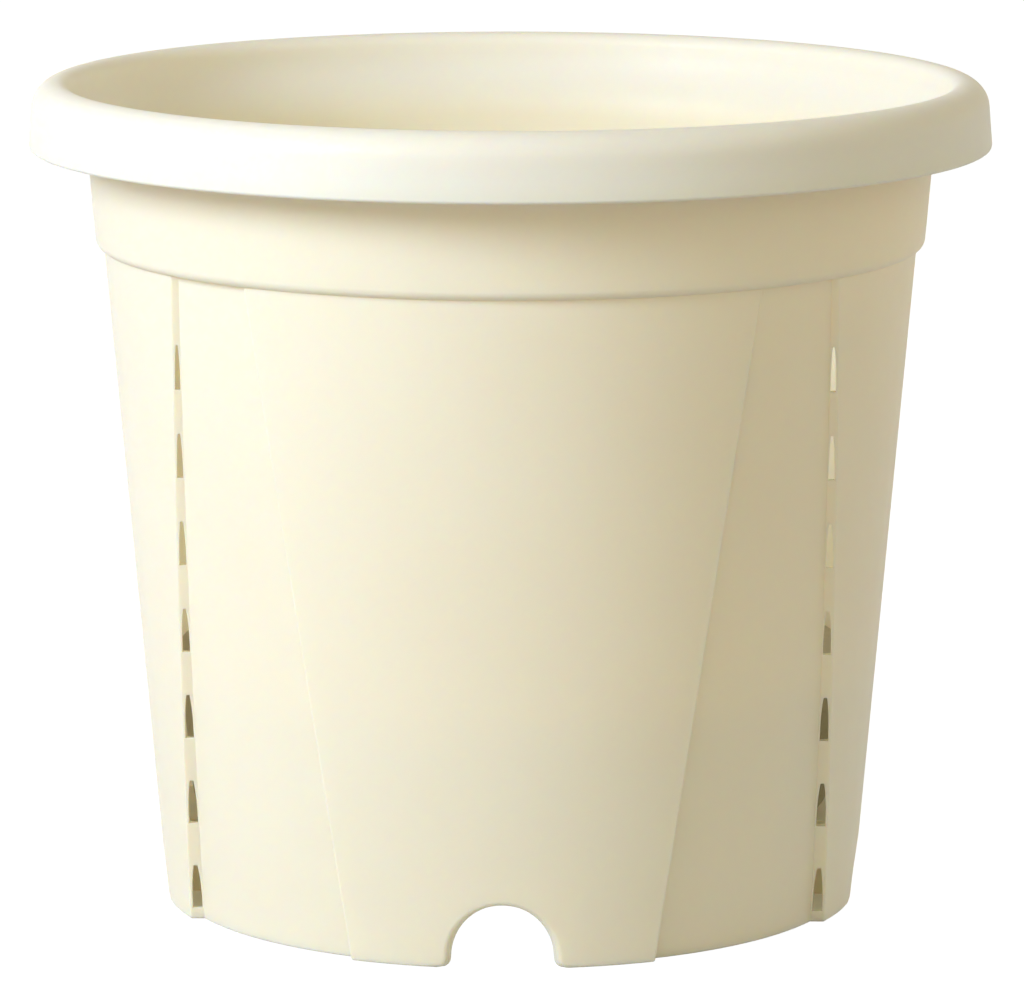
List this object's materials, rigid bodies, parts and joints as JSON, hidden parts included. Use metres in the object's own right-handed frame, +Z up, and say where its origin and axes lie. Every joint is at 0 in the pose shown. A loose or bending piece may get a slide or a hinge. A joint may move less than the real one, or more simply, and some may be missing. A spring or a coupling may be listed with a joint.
{
  "type": "self-watering plant pot",
  "caption": "Round slit-sided plant pot with a rolled rim and arched feet, holding a lift-out water reservoir, a soil platform on wicking cups, a filling tube and a float gauge.",
  "frame": {"origin": "on the ground, at the middle of the pot's foot", "axes": "+Z up along the pot's axis, -Y towards the front, +X to the right with the float gauge"},
  "size_m": [0.332, 0.332, 0.286],
  "materials": {
    "pot": "cream moulded plastic, satin",
    "insert": "stone-coloured moulded plastic, fine grain",
    "plug": "black rubber, matte",
    "tube": "cream extruded plastic, satin",
    "cap": "charcoal moulded plastic, satin",
    "pin": "drawn steel",
    "clear": "clear plastic, glossy",
    "foam": "white closed-cell foam",
    "rod": "white plastic rod",
    "tip": "red plastic, glossy"
  },
  "bodies": {
    "pot": {"pot_rim": "pot", "pot_wall": "pot", "pot_floor": "pot"},
    "reservoir": {"reservoir_tray": "insert"},
    "plug": {"drain_plug": "plug"},
    "platform": {"soil_platform": "insert", "wicking_cup_1": "insert", "wicking_cup_2": "insert", "wicking_cup_3": "insert", "wicking_cup_4": "insert", "fill_tube": "tube", "fill_cap_pin": "pin", "gauge_sleeve": "tube", "gauge_dome": "clear", "float_cage": "insert"},
    "cap": {"fill_cap": "cap"},
    "float": {"gauge_float": "foam", "gauge_rod": "rod", "gauge_tip": "tip"}
  },
  "joints": [
    {"name": "reservoir_lift", "type": "slide", "parent": "pot", "child": "reservoir", "axis": [0, 0, 1], "range_m": [0, 0.26]},
    {"name": "platform_lift", "type": "slide", "parent": "reservoir", "child": "platform", "axis": [0, 0, 1], "range_m": [0, 0.05]},
    {"name": "plug_pull", "type": "slide", "parent": "reservoir", "child": "plug", "axis": [0, 0, 1], "range_m": [0, 0.02]},
    {"name": "cap_hinge", "type": "hinge", "parent": "platform", "child": "cap", "pos_m": [-0.11334, 0, 0.2608], "axis": [0, -1, 0], "range_deg": [0, 110]},
    {"name": "float_rise", "type": "slide", "parent": "platform", "child": "float", "axis": [0, 0, 1], "range_m": [0, 0.0235]}
  ]
}
